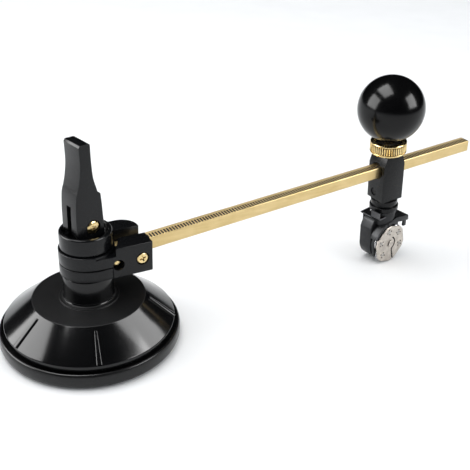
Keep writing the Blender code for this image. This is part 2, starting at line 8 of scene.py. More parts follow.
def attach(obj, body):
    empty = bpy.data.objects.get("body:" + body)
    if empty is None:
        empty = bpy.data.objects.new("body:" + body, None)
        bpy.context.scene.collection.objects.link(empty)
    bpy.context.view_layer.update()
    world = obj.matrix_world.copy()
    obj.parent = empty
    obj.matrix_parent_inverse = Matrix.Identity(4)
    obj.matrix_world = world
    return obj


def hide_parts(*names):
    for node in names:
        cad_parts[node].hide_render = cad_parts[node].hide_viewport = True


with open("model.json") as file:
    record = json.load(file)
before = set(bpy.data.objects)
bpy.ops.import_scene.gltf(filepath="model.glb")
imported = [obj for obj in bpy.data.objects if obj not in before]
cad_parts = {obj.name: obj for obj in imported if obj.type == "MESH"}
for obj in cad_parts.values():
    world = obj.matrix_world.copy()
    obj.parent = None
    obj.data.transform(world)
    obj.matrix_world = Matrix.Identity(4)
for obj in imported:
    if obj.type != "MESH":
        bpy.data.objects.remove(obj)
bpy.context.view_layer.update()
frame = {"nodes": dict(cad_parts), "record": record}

# ---------------------------------------------------------------- dimensions
# millimetres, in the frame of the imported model
PAD_R, PAD_LIP_Z = 28.6, 5.5
RIM_R, RIM_TOP_Z = 26.8, 7.4
DISC_R, DISC_Z = 17.8, 15.0
BOSS_R, BOSS_TOP_Z = 7.9, 24.0
RIB_ANGLES = (-164.5, -103.5, -27.0, 42.0, 95.0)
RING_R, RING_BORE = 8.5, 5.5
TUBE_TOP = 35.0
ARM_Z0, ARM_SPLIT, ARM_RING_TOP, ARM_TOP = 24.3, 28.1, 32.6, 34.4
CHEEK_IN, CHEEK_OUT, CHEEK_END = 2.45, 8.85, 18.0
CUP_R, CUP_Z0, CUP_FLOOR, CUP_TOP = 8.0, 32.9, 36.3, 38.4
LEVER_TURN = 14.0
PIN_LX, PIN_Z = 0.5, 40.2
LEVER_HALF, LEVER_UP = 3.95, 26.4
PIVOT_X, PIVOT_Z = 14.7, 29.1
BAR_HALF, BAR_IN, BAR_OUT = 2.1, 9.0, 154.5
HEAD_X = 116.0
BLOCK_HX, BLOCK_HY = 4.7, 4.45
BLOCK_LOW, BLOCK_TOP, BLOCK_SHOULDER = -12.0, 6.2, 2.5
BAR_HOLE_R = 3.15
NUT_R, NUT_LOW, NUT_TOP = 6.6, 6.7, 11.2
BALL_R, BALL_W = 11.9, 23.1
W, TURRET_YAW = -30.9, 9.0
WHEEL_PITCH_R, WHEEL_R, WHEEL_T, WHEEL_Y = 5.45, 2.6, 0.8, -3.5
WHEEL_PHASE = -79.0
PLATE_FLAT, PLATE_CLIP = 7.35, 7.75
HR, HB = 7.4, 4.6
GUARD_R = 8.35
CLAMP_Z = PIVOT_Z - 0.5

# the bar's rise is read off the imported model's own slide axis
for jt in frame["record"]["behaviour"]["joints"]:
    if jt["name"] == "head_slide":
        along = Vector(jt["axis"]).normalized()
ROCK = math.atan2(along.z, along.x)

MM = 0.001


def shift(x, y, z):
    return Matrix.Translation((x, y, z))


def spin(deg, axis):
    return Matrix.Rotation(math.radians(deg), 4, axis)


ROW = Matrix.Identity(4)
LEVER_DIR = spin(LEVER_TURN, "Z")
PIN = (LEVER_DIR @ shift(PIN_LX, 0, PIN_Z))
BAR = shift(PIVOT_X, 0, PIVOT_Z) @ Matrix.Rotation(-ROCK, 4, "Y")
HEAD = BAR @ shift(HEAD_X - PIVOT_X, 0, 0)
SWIVEL = HEAD @ spin(TURRET_YAW, "Z")
TURRET = SWIVEL @ shift(0, 0, W)

# ------------------------------------------------------------ shape building


def turned(profile, seg):
    verts, rows, faces = [], [], []
    for r, z in profile:
        if r < 1e-9:
            verts.append((0.0, 0.0, z))
            rows.append([len(verts) - 1] * seg)
        else:
            row = []
            for k in range(seg):
                a = 2 * math.pi * k / seg
                verts.append((r * math.cos(a), r * math.sin(a), z))
                row.append(len(verts) - 1)
            rows.append(row)
    n = len(rows)
    for i in range(n):
        a, b = rows[i], rows[(i + 1) % n]
        if profile[i][0] < 1e-9 and profile[(i + 1) % n][0] < 1e-9:
            continue
        for k in range(seg):
            k2 = (k + 1) % seg
            face = []
            for v in (a[k], a[k2], b[k2], b[k]):
                if v not in face:
                    face.append(v)
            if len(face) > 2:
                faces.append(face)
    return verts, faces


def prism(outline, lo, hi):
    n = len(outline)
    verts = [(x, y, lo) for x, y in outline] + [(x, y, hi) for x, y in outline]
    faces = [list(range(n)), list(range(n, 2 * n))]
    for i in range(n):
        j = (i + 1) % n
        faces.append([i, j, n + j, n + i])
    return verts, faces


def box(x0, x1, y0, y1, z0, z1):
    return prism([(x0, y0), (x1, y0), (x1, y1), (x0, y1)], z0, z1)


def circle(r, seg, cx=0.0, cy=0.0):
    return [(cx + r * math.cos(2 * math.pi * k / seg),
             cy + r * math.sin(2 * math.pi * k / seg)) for k in range(seg)]


def rod(r, lo, hi, seg=64):
    return prism(circle(r, seg), lo, hi)


def moved(geo, matrix):
    return [tuple(matrix @ Vector(v)) for v in geo[0]], geo[1]


def joined(*geos):
    verts, faces = [], []
    for g in geos:
        n = len(verts)
        verts += list(g[0])
        faces += [[i + n for i in f] for f in g[1]]
    return verts, faces


TO_Y, STAND, TO_X = spin(-90, "X"), spin(90, "X"), spin(90, "Y")


def standing(outline, y0, y1):
    return moved(prism(outline, -y1, -y0), STAND)


def along_y(profile, seg, x=0.0, y=0.0, z=0.0):
    return moved(turned(profile, seg), shift(x, y, z) @ TO_Y)


def rod_y(r, x, z, y0, y1, seg=64):
    return moved(rod(r, y0, y1, seg), shift(x, 0, z) @ TO_Y)


def rod_x(r, y, z, x0, x1, seg=64):
    return moved(rod(r, x0, x1, seg), shift(0, y, z) @ TO_X)


def arc(cx, cy, r, a0, a1, n):
    return [(cx + r * math.cos(math.radians(a0 + (a1 - a0) * i / n)),
             cy + r * math.sin(math.radians(a0 + (a1 - a0) * i / n)))
            for i in range(n + 1)]


def smooth_line(points, per=8):
    out = []
    p = [points[0]] + list(points) + [points[-1]]
    for i in range(1, len(p) - 2):
        for s in range(per):
            t = s / per
            q = []
            for k in (0, 1):
                a, b, c, d = (p[i - 1][k], p[i][k], p[i + 1][k], p[i + 2][k])
                q.append(0.5 * (2 * b + (c - a) * t
                                + (2 * a - 5 * b + 4 * c - d) * t * t
                                + (3 * b - 3 * c + d - a) * t ** 3))
            out.append(tuple(q))
    out.append(tuple(points[-1]))
    return out


def eased(profile, r=0.15, n=4):
    """Rounds the corners of a closed (r, z) section."""
    out = []
    m = len(profile)
    for i in range(m):
        p0, p1, p2 = (Vector(profile[i - 1]), Vector(profile[i]),
                      Vector(profile[(i + 1) % m]))
        a, b = p0 - p1, p2 - p1
        if p1.x < 1e-6 or a.length < 1e-6 or b.length < 1e-6:
            out.append(tuple(p1))
            continue
        turn = math.pi - a.angle(b)
        if turn < math.radians(18):
            out.append(tuple(p1))
            continue
        cut = min(r, a.length * 0.45, b.length * 0.45)
        s, e = p1 + a.normalized() * cut, p1 + b.normalized() * cut
        for k in range(n + 1):
            t = k / n
            q = s * (1 - t) ** 2 + p1 * 2 * t * (1 - t) + e * t * t
            out.append(tuple(q))
    return out


def mesh_from(name, geo, matrix=ROW):
    me = bpy.data.meshes.new(name)
    me.from_pydata([tuple((matrix @ Vector(v)) * MM) for v in geo[0]], [],
                   geo[1])
    bm = bmesh.new()
    bm.from_mesh(me)
    bmesh.ops.remove_doubles(bm, verts=bm.verts, dist=1e-7)
    bmesh.ops.recalc_face_normals(bm, faces=bm.faces)
    bm.to_mesh(me)
    bm.free()
    return me


def loose(name, geo, matrix, mat):
    me = mesh_from(name, geo, matrix)
    ob = bpy.data.objects.new(name, me)
    bpy.context.scene.collection.objects.link(ob)
    me.materials.append(mat)
    return ob


def shape(name, geo, matrix, mat, steps=(), smooth=32):
    """Builds one closed mesh. Each step is ('cut', geo[, material]),
    ('join', geo) or ('round', width, segments, angle), in order."""
    ob = loose(name, geo, matrix, mat)
    tools = []
    for k, st in enumerate(steps):
        if st[0] == "round":
            m = ob.modifiers.new("m%d" % k, "BEVEL")
            m.width, m.segments = st[1] * MM, st[2]
            m.limit_method = "ANGLE"
            m.angle_limit = math.radians(st[3] if len(st) > 3 else 30)
            m.use_clamp_overlap = True
        else:
            t = loose(name + "_t%d" % k, st[1], matrix,
                      st[2] if len(st) > 2 else mat)
            tools.append(t)
            m = ob.modifiers.new("m%d" % k, "BOOLEAN")
            m.operation = {"cut": "DIFFERENCE", "join": "UNION",
                           "keep": "INTERSECT"}[st[0]]
            m.solver = "EXACT"
            m.object = t
            if len(st) > 2:
                m.material_mode = "TRANSFER"
    if steps:
        dg = bpy.context.evaluated_depsgraph_get()
        new = bpy.data.meshes.new_from_object(ob.evaluated_get(dg))
        old = ob.data
        ob.modifiers.clear()
        ob.data = new
        bpy.data.meshes.remove(old)
        for t in tools:
            me = t.data
            bpy.data.objects.remove(t, do_unlink=True)
            bpy.data.meshes.remove(me)
    if smooth:
        ob.data.shade_smooth()
        ob.data.set_sharp_from_angle(angle=math.radians(smooth))
    ob.name = name
    ob.data.name = name
    return ob


def piece(node, geo, matrix, mat, body, steps=(), smooth=32, name=None):
    ob = shape(name or node + "_v", geo, matrix, mat, steps, smooth)
    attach(ob, body)
    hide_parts(node)
    return ob


# ----------------------------------------------------------------- materials


class Mat:
    """A small helper around one Principled BSDF and its node tree."""

    def __init__(self, name):
        self.m = bpy.data.materials.new(name)
        self.m.use_nodes = True
        self.t = self.m.node_tree
        self.b = self.t.nodes["Principled BSDF"]
        self.co = self.t.nodes.new("ShaderNodeTexCoord").outputs["Object"]

    def new(self, kind, **kw):
        n = self.t.nodes.new("ShaderNode" + kind)
        for k, v in kw.items():
            setattr(n, k, v)
        return n

    def link(self, a, b):
        self.t.links.new(a, b)

    def mapped(self, scale=(1, 1, 1), rot=(0, 0, 0), loc=(0, 0, 0)):
        n = self.new("Mapping")
        n.inputs["Scale"].default_value = scale
        n.inputs["Rotation"].default_value = rot
        n.inputs["Location"].default_value = loc
        self.link(self.co, n.inputs["Vector"])
        return n.outputs["Vector"]

    def noise(self, scale, detail=3.0, rough=0.5, vec=None):
        n = self.new("TexNoise")
        n.inputs["Scale"].default_value = scale
        n.inputs["Detail"].default_value = detail
        n.inputs["Roughness"].default_value = rough
        self.link(vec or self.co, n.inputs["Vector"])
        return n.outputs["Fac"]

    def range(self, fac, lo, hi, a=0.3, b=0.7):
        n = self.new("MapRange")
        n.inputs["From Min"].default_value = a
        n.inputs["From Max"].default_value = b
        n.inputs["To Min"].default_value = lo
        n.inputs["To Max"].default_value = hi
        self.link(fac, n.inputs["Value"])
        return n.outputs["Result"]

    def ramp(self, fac, stops):
        n = self.new("ValToRGB")
        e = n.color_ramp.elements
        while len(e) < len(stops):
            e.new(0.5)
        for k, (p, c) in enumerate(stops):
            e[k].position = p
            e[k].color = (*c, 1)
        self.link(fac, n.inputs["Fac"])
        return n.outputs["Color"]

    def bump(self, *layers):
        """layers: (height socket, strength, distance in mm)"""
        prev = None
        for h, s, d in layers:
            n = self.new("Bump")
            n.inputs["Strength"].default_value = s
            n.inputs["Distance"].default_value = d * MM
            self.link(h, n.inputs["Height"])
            if prev:
                self.link(prev, n.inputs["Normal"])
            prev = n.outputs["Normal"]
        self.link(prev, self.b.inputs["Normal"])

    def edge_wear(self, size=0.35):
        """A mask that is high on convex edges, from the bevelled normal."""
        bev = self.new("Bevel", samples=4)
        bev.inputs["Radius"].default_value = size * MM
        geo = self.new("NewGeometry")
        dot = self.new("VectorMath", operation="DOT_PRODUCT")
        self.link(bev.outputs["Normal"], dot.inputs[0])
        self.link(geo.outputs["Normal"], dot.inputs[1])
        n = self.new("MapRange")
        n.inputs["From Min"].default_value = 0.98
        n.inputs["From Max"].default_value = 0.80
        self.link(dot.outputs["Value"], n.inputs["Value"])
        return n.outputs["Result"]


def plastic(name, dark, light, rough_lo, rough_hi, grain, bump, spec=0.5,
            coat=0.0):
    m = Mat(name)
    big = m.noise(110, 3.0, 0.55)
    fine = m.noise(grain, 2.0, 0.6)
    m.link(m.ramp(big, [(0.3, dark), (0.7, light)]),
           m.b.inputs["Base Color"])
    m.link(m.range(fine, rough_lo, rough_hi), m.b.inputs["Roughness"])
    m.b.inputs["Specular IOR Level"].default_value = spec
    if coat:
        m.b.inputs["Coat Weight"].default_value = coat
        m.b.inputs["Coat Roughness"].default_value = 0.08
    m.bump((fine, 0.35, bump), (big, 0.15, bump * 2))
    return m.m


def metal(name, tones, rough_lo, rough_hi, streak=(1, 1, 1), rot=(0, 0, 0),
          scale=300, bump=0.004, mottled=60, tint=0.5, metallic=1.0):
    """tones: dark and light colour. The streak stretches the fine grain."""
    m = Mat(name)
    fine = m.noise(scale, 4.0, 0.6, m.mapped(streak, rot))
    big = m.noise(mottled, 4.0, 0.6)
    mix = m.new("MixRGB", blend_type="MIX")
    mix.inputs["Fac"].default_value = tint
    m.link(m.ramp(fine, [(0.32, tones[0]), (0.68, tones[1])]),
           mix.inputs["Color1"])
    m.link(m.ramp(big, [(0.35, tones[0]), (0.65, tones[1])]),
           mix.inputs["Color2"])
    m.link(mix.outputs["Color"], m.b.inputs["Base Color"])
    m.b.inputs["Metallic"].default_value = metallic
    m.link(m.range(fine, rough_lo, rough_hi), m.b.inputs["Roughness"])
    m.bump((fine, 0.4, bump))
    return m.m


SHELL = plastic("shell_gloss", (0.0022, 0.0023, 0.0026), (0.0036, 0.0037, 0.0041),
                0.11, 0.17, 2600, 0.0012, 0.32)
DISC = plastic("disc_matt", (0.0060, 0.0060, 0.0063), (0.0088, 0.0088, 0.0092),
               0.40, 0.50, 3800, 0.010, 0.12)
BALL = plastic("ball_gloss", (0.0020, 0.0020, 0.0022), (0.0030, 0.0030, 0.0033),
               0.15, 0.19, 900, 0.0006, 0.22)
SATIN = plastic("satin_black", (0.0036, 0.0038, 0.0044),
                (0.0056, 0.0059, 0.0068), 0.20, 0.29, 3600, 0.0045, 0.26)
RUBBER = plastic("pad_rubber", (0.0070, 0.0070, 0.0072),
                 (0.0080, 0.0080, 0.0083), 0.20, 0.28, 2200, 0.004, 0.28)
BLOCKM = plastic("block_black", (0.0026, 0.0027, 0.0031),
                 (0.0044, 0.0046, 0.0052), 0.22, 0.30, 3000, 0.0040, 0.22)
DARKSCREW = plastic("screw_black", (0.0030, 0.0030, 0.0032),
                    (0.0060, 0.0060, 0.0063), 0.30, 0.45, 2600, 0.003, 0.3)
BRASS_BAR = metal("brass_drawn", ((0.58, 0.43, 0.19), (0.74, 0.58, 0.30)),
                  0.32, 0.44, (0.08, 1, 1), (0, -ROCK, 0), 900, 0.0025, 160,
                  0.4)
# near-black colour of the scale ticks; on the lock nut the same colour is painted
# shade in the knurl's valleys and top recess
TICK_MARK_AND_SHADE = metal("tick_mark_and_painted_shade", ((0.006, 0.0035, 0.0015), (0.016, 0.009, 0.004)),
               0.7, 0.8, scale=900, metallic=0.0)
BRASS = metal("brass_turned", ((0.62, 0.46, 0.20), (0.86, 0.70, 0.38)),
              0.16, 0.32, (1, 1, 1), (0, 0, 0), 1100, 0.003, 200, 0.5)
KNURL = metal("brass_knurl", ((0.58, 0.42, 0.17), (0.88, 0.70, 0.36)),
              0.18, 0.30, (1, 1, 0.2), (0, 0, 0), 1500, 0.003, 300, 0.4)
STEEL = metal("plated_steel", ((0.50, 0.48, 0.45), (0.74, 0.71, 0.67)),
              0.24, 0.40, (1, 1, 1), (0, 0, 0), 1500, 0.004, 350, 0.5)
SPRINGM = metal("spring_steel", ((0.055, 0.055, 0.058), (0.12, 0.12, 0.125)),
                0.26, 0.40, scale=1500, bump=0.003, mottled=350)
PLATE = metal("plate_steel", ((0.42, 0.38, 0.34), (0.68, 0.63, 0.57)),
              0.30, 0.48, (1, 1, 1), (0, 0, 0), 1300, 0.006, 420, 0.5)
WHEELM = metal("wheel_steel", ((0.30, 0.30, 0.31), (0.50, 0.50, 0.51)),
               0.18, 0.34, scale=1400, bump=0.003, mottled=400)
DARK = metal("blackened_casting", ((0.010, 0.0105, 0.0115), (0.028, 0.029, 0.031)),
             0.28, 0.44, scale=2400, bump=0.008, mottled=300, metallic=0.55)
# painted shade: near-black colour for the cut walls of the plate's slots and punch
# marks, where shade falls
SLOT_SHADE = metal("plate_slot_shade", ((0.006, 0.004, 0.003), (0.016, 0.010, 0.007)),
              0.6, 0.8, scale=1500, metallic=0.0)

# ------------------------------------------------------------------ the base
pad_section = [(0, 0), (26.6, 0), (27.6, 0.4), (28.3, 1.1), (PAD_R, 2.2),
               (28.5, 4.5), (28.2, 5.25), (27.8, PAD_LIP_Z), (27.4, 5.2),
               (27.3, 4.2), (23.3, 4.2), (22.4, 2.3), (0, 2.3)]
piece("rubber_pad", turned(eased(pad_section, 0.5, 5), 192), ROW, RUBBER,
      "base")

shell_section = [
    (RIM_R, RIM_TOP_Z), (RIM_R, 5.7), (26.3, 5.4), (25.9, 4.6), (24.0, 4.6),
    (23.6, 6.6), (16.4, 12.9), (3.5, 12.9), (3.5, 15.2), (RING_BORE, 15.2),
    (RING_BORE, 23.1), (7.2, 23.1), (7.2, BOSS_TOP_Z), (7.6, BOSS_TOP_Z),
    (BOSS_R, BOSS_TOP_Z - 0.3), (BOSS_R, DISC_Z + 1.2), (8.2, DISC_Z + 0.6),
    (8.7, DISC_Z + 0.4), (9.3, DISC_Z + 0.4), (9.4, DISC_Z),
    (DISC_R - 0.3, DISC_Z), (DISC_R + 0.05, DISC_Z - 0.3)]
cone_r0, cone_z0 = DISC_R + 0.05, DISC_Z - 0.3
cone_len = math.hypot(RIM_R - cone_r0, cone_z0 - RIM_TOP_Z)
cone_dr = (RIM_R - cone_r0) / cone_len
cone_dz = (cone_z0 - RIM_TOP_Z) / cone_len


def rib(angle):
    a = math.radians(angle)
    top, low = 0.9, cone_len - 0.25
    half0, half1 = 0.5, 0.95
    pts = [(low, -half1)]
    for k in range(17):
        b = math.radians(180 * k / 16)
        pts.append((top + half0 - half0 * math.sin(b), -half0 * math.cos(b)))
    pts.append((low, half1))
    layers = [(-0.5, 0.0), (0.10, 0.0), (0.34, 0.12), (0.46, 0.30), (0.5, 0.46)]
    verts = []
    for n, inset in layers:
        for s, t in pts:
            t2 = t * (1 - inset)
            r = cone_r0 + s * cone_dr + n * cone_dz
            z = cone_z0 - s * cone_dz + n * cone_dr
            verts.append((r * math.cos(a) - t2 * math.sin(a),
                          r * math.sin(a) + t2 * math.cos(a), z))
    k = len(pts)
    last_row = k * (len(layers) - 1)
    faces = [list(range(k)), list(range(last_row, last_row + k))]
    for L in range(0, last_row, k):
        faces += [[L + i, L + (i + 1) % k, L + k + (i + 1) % k, L + k + i]
                  for i in range(k)]
    return verts, faces


shell = piece("base_shell", turned(eased(shell_section, 0.22, 4), 200), ROW,
              SHELL, "base",
              [("join", rib(a)) for a in RIB_ANGLES], 26)
# the flat disc and its little step are matt
shell.data.materials.append(DISC)
for p in shell.data.polygons:
    c = p.center / MM
    r = math.hypot(c.x, c.y)
    if 8.0 < r < DISC_R - 0.02 and c.z > DISC_Z - 0.2 and c.z < DISC_Z + 0.7:
        p.material_index = 1

piece("column_tube", turned(eased([
    (5.2, 15.5), (5.2, TUBE_TOP - 0.4), (4.9, TUBE_TOP), (3.2, TUBE_TOP),
    (3.2, 15.5)], 0.1, 2), 96), ROW, STEEL, "base")
piece("collar_cup", turned(eased([
    (RING_BORE, CUP_Z0), (7.7, CUP_Z0), (CUP_R, CUP_Z0 + 0.3),
    (CUP_R, CUP_TOP - 0.4), (CUP_R - 0.25, CUP_TOP), (7.05, CUP_TOP),
    (6.8, CUP_TOP - 0.3), (6.8, CUP_FLOOR), (3.25, CUP_FLOOR),
    (3.25, TUBE_TOP + 0.3), (RING_BORE, TUBE_TOP + 0.3)], 0.16, 3), 160),
    ROW, SATIN, "base")

# ------------------------------------------------------------- stem and lever
tongue = ([(-2.2, PIN_Z - 7.2), (2.2, PIN_Z - 7.2)]
          + arc(0, PIN_Z + 0.3, 2.2, 0, 180, 32))
piece("pull_stem", turned([
    (0, 3.0), (6.0, 3.0), (6.0, 4.1), (2.9, 4.1), (2.9, PIN_Z - 6.5),
    (2.6, PIN_Z - 6.2), (0, PIN_Z - 6.2)], 96), LEVER_DIR, STEEL, "stem",
    [("join", standing(tongue, -0.9, 0.9)),
              ("cut", rod_y(1.3, PIN_LX, PIN_Z, -3, 3, 48))])

left = smooth_line([(-5.2, -0.6), (-5.15, 2.2), (-5.1, 5.7), (-4.75, 10.4),
                    (-3.95, 13.1), (-3.25, 16.1), (-2.8, 20.2), (-2.9, 25.7)])
right = smooth_line([(0.8, 25.8), (0.85, 22.1), (1.05, 18.1), (1.4, 15.3),
                     (2.2, 12.4), (2.6, 10.8)])
right2 = smooth_line([(3.4, 10.5), (3.55, 9.4), (3.8, 6.1), (4.1, 0.7),
                      (4.15, -2.8)])
outline = (arc(-2.2, -0.65, 3.0, 270, 182, 20) + left
           + [(-2.5, LEVER_UP - 0.05), (-2.2, LEVER_UP), (0.3, LEVER_UP),
              (0.7, LEVER_UP - 0.15)] + right + right2 + [(3.75, -3.65)])
outline = [(x - PIN_LX, z) for x, z in outline]
piece("lever", standing(outline, -LEVER_HALF, LEVER_HALF), PIN, SATIN,
      "lever",
      [("round", 0.62, 5, 40),
       ("cut", box(-8, 3.3 - PIN_LX, -1.1, 1.1, -6, 7.2)),
       ("cut", rod_y(1.3, 0, 0, -6, 6, 48)),
       ("cut", rod_y(2.4, 0, 0, -6, -2.8, 64)),
       ("cut", rod_y(2.2, 0, 0, 2.9, 6, 64))], 30)


def cross(y, size, depth, turn=20.0):
    """Cutters of a cross recess in a head that faces -Y."""
    out = []
    w = size * 0.25
    for a in (turn, turn + 90):
        top = [(-size / 2, -w / 2), (size / 2, -w / 2), (size / 2, w / 2),
               (-size / 2, w / 2)]
        verts = [(x * 0.45, v * 0.6, 0) for x, v in top] + \
                [(x, v, depth) for x, v in top] + \
                [(x, v, depth + 1) for x, v in top]
        faces = [[0, 1, 2, 3], [8, 9, 10, 11]]
        for L in (0, 4):
            faces += [[L + i, L + (i + 1) % 4, L + 4 + (i + 1) % 4, L + 4 + i]
                      for i in range(4)]
        out.append(("cut", moved((verts, faces), shift(0, y + depth, 0)
                                 @ spin(90, "X") @ spin(a, "Z"))))
    return out


piece("lever_pin", along_y(eased([
    (0, -4.1), (1.35, -4.08), (2.1, -3.75), (2.1, -3.1), (1.0, -3.1),
    (1.0, 3.2), (1.9, 3.2), (1.9, 3.7), (1.6, 3.95), (0, 3.95)], 0.3, 5),
    72), PIN, BRASS, "lever", cross(-4.1, 1.6, 0.32, 30.0))

# ------------------------------------------------------------------- the arm


def ring_outline(front_x, rear_x):
    t = (CHEEK_OUT - RING_R * math.sin(math.radians(105))) / math.tan(
        math.radians(15))
    xt = RING_R * math.cos(math.radians(105)) + t
    pts = arc(0, 0, RING_R, 105, 255, 90)
    pts += [(xt, -CHEEK_OUT), (front_x, -CHEEK_OUT)]
    a = math.degrees(math.acos(min(front_x, 7.0) / RING_R))
    b = math.degrees(math.acos(min(rear_x, 7.0) / RING_R))
    pts += arc(0, 0, RING_R, -a, b, 40)
    pts += [(rear_x, CHEEK_OUT), (xt, CHEEK_OUT)]
    return pts


BUTT = 5.0
clear_r = RING_R + 0.15
notch = [(3.0, -10.0), (6.2, -9.6), (6.2, -CHEEK_OUT), (9.4, -CHEEK_IN),
         (9.4, -1.0), (0.0, -1.0), (0.0, -10.0)]


def notch_piece(pts):
    """The notch under the cup, without the ring itself."""
    ob = shape("notch", prism(pts, 31.7, 36.0), ROW, SATIN,
               [("cut", rod(RING_R - 0.02, 20, ARM_RING_TOP - 0.03, 128))],
               0)
    geo = ([tuple(v.co / MM) for v in ob.data.vertices],
           [list(p.vertices) for p in ob.data.polygons])
    me = ob.data
    bpy.data.objects.remove(ob, do_unlink=True)
    bpy.data.meshes.remove(me)
    return geo


bores = [("cut", rod(RING_BORE, 20, 40, 96)),
         ("cut", rod_y(1.2, PIVOT_X, PIVOT_Z, -12, 7.2, 48)),
         ("cut", rod_y(1.2, 7.0, CLAMP_Z, -12, 6.0, 48))]
piece("arm_front_half", prism(ring_outline(6.9, BUTT), ARM_SPLIT + 0.15,
                              ARM_RING_TOP), ROW, SATIN, "arm",
      [("join", box(BUTT + 0.12, CHEEK_END, -CHEEK_OUT, -CHEEK_IN, ARM_Z0,
                    ARM_TOP)),
       ("round", 0.26, 3, 50),
       ("cut", rod(clear_r, 20, ARM_SPLIT, 128)),
       ("cut", notch_piece(notch)),
       ("cut", rod(7.2, ARM_RING_TOP - 0.9, 40, 96))] + bores
      + [("cut", rod_y(2.12, PIVOT_X, PIVOT_Z, -12, -7.5, 72)),
         ("cut", rod_y(1.8, 7.0, CLAMP_Z, -12, -6.0, 64))], 30)
corner = 5.5
plan = ([(BUTT + 0.12, CHEEK_IN), (CHEEK_END, CHEEK_IN)]
        + arc(CHEEK_END - corner, CHEEK_OUT - corner, corner, 0, 90, 28)
        + [(BUTT + 0.12, CHEEK_OUT)])
piece("arm_rear_half", prism(ring_outline(BUTT, 6.9), ARM_Z0,
                             ARM_SPLIT - 0.15), ROW, SATIN, "arm",
      [("join", prism(plan, ARM_Z0, ARM_TOP)),
       ("round", 0.26, 3, 50),
       ("cut", rod(clear_r, ARM_SPLIT, 40, 128)),
       ("cut", notch_piece([(x, -y) for x, y in notch]))] + bores
      + [("cut", rod_y(1.8, 7.0, CLAMP_Z, -12, -6.0, 64))], 30)
piece("bar_pivot_screw", along_y(eased([
    (0, -8.8), (1.6, -8.8), (1.82, -8.6), (1.82, -7.8), (1.0, -7.8),
    (1.0, 6.7), (0.8, 6.9), (0, 6.9)], 0.2, 4), 72),
    shift(PIVOT_X, 0, PIVOT_Z), BRASS, "arm",
    cross(-8.8, 2.1, 0.5, 20.0))
piece("clamp_screw", along_y(eased([
    (0, -7.5), (0.8, -7.4), (1.35, -7.0), (1.5, -6.3), (0.9, -6.3),
    (0.9, 5.5), (0.7, 5.7), (0, 5.7)], 0.2, 3), 56),
    shift(7.0, 0, CLAMP_Z), BRASS, "arm")

# ----------------------------------------------------- bar and clamp head
ticks = []
first, last = 20, 154
for k in range(first, last + 1):
    x = k - PIVOT_X
    ticks.append(box(x - 0.29, x + 0.29, -1.84, 0.60, BAR_HALF - 0.32,
                     BAR_HALF + 0.5))
bar_ob = piece("scale_bar", box(BAR_IN - PIVOT_X, BAR_OUT - PIVOT_X, -BAR_HALF,
                       BAR_HALF, -BAR_HALF, BAR_HALF), BAR, BRASS_BAR,
      "bar",
      [("round", 0.28, 4, 30), ("cut", rod_y(1.3, 0, 0, -4, 4, 48)),
       ("cut", joined(*ticks), TICK_MARK_AND_SHADE)], 30)

top_hx = BLOCK_HX - 1.3
piece("head_block", box(-BLOCK_HX, BLOCK_HX, -BLOCK_HY, BLOCK_HY, BLOCK_LOW,
                        BLOCK_TOP), HEAD, BLOCKM, "head",
      [("keep", standing(
          [(-9, BLOCK_LOW - 1), (9, BLOCK_LOW - 1), (9, BLOCK_SHOULDER),
           (BLOCK_HX + 0.001, BLOCK_SHOULDER), (top_hx, BLOCK_TOP),
           (top_hx, 9), (-top_hx, 9), (-top_hx, BLOCK_TOP),
           (-BLOCK_HX - 0.001, BLOCK_SHOULDER), (-9, BLOCK_SHOULDER)],
          -9, 9)),
       ("round", 0.24, 3, 17),
       ("cut", rod_x(BAR_HOLE_R, 0, 0, -8, 8, 96)),
       ("cut", rod(2.0, 0, 8, 64)),
       ("cut", rod(2.4, -16, -5.0, 64)),
       ("cut", rod_x(1.5, 0.8, -9.0, -8, -1.5, 64))], 16)
piece("block_set_screw", moved(turned(
    [(0, -4.4), (0.5, -4.4), (0.55, -3.7), (0.75, -3.7), (0.75, -4.4),
     (1.2, -4.4), (1.2, -2.5), (0.4, -2.3), (0.4, -1.75), (0, -1.75)], 56),
    shift(0, 0.8, -9.0) @ TO_X), HEAD, DARKSCREW, "head")
piece("clamp_stud", turned(eased([
    (0, 3.3), (1.3, 3.3), (1.6, 3.6), (1.6, 18.3), (1.3, 18.6), (0, 18.6)],
    0.1, 2), 64), HEAD, BRASS, "knob")


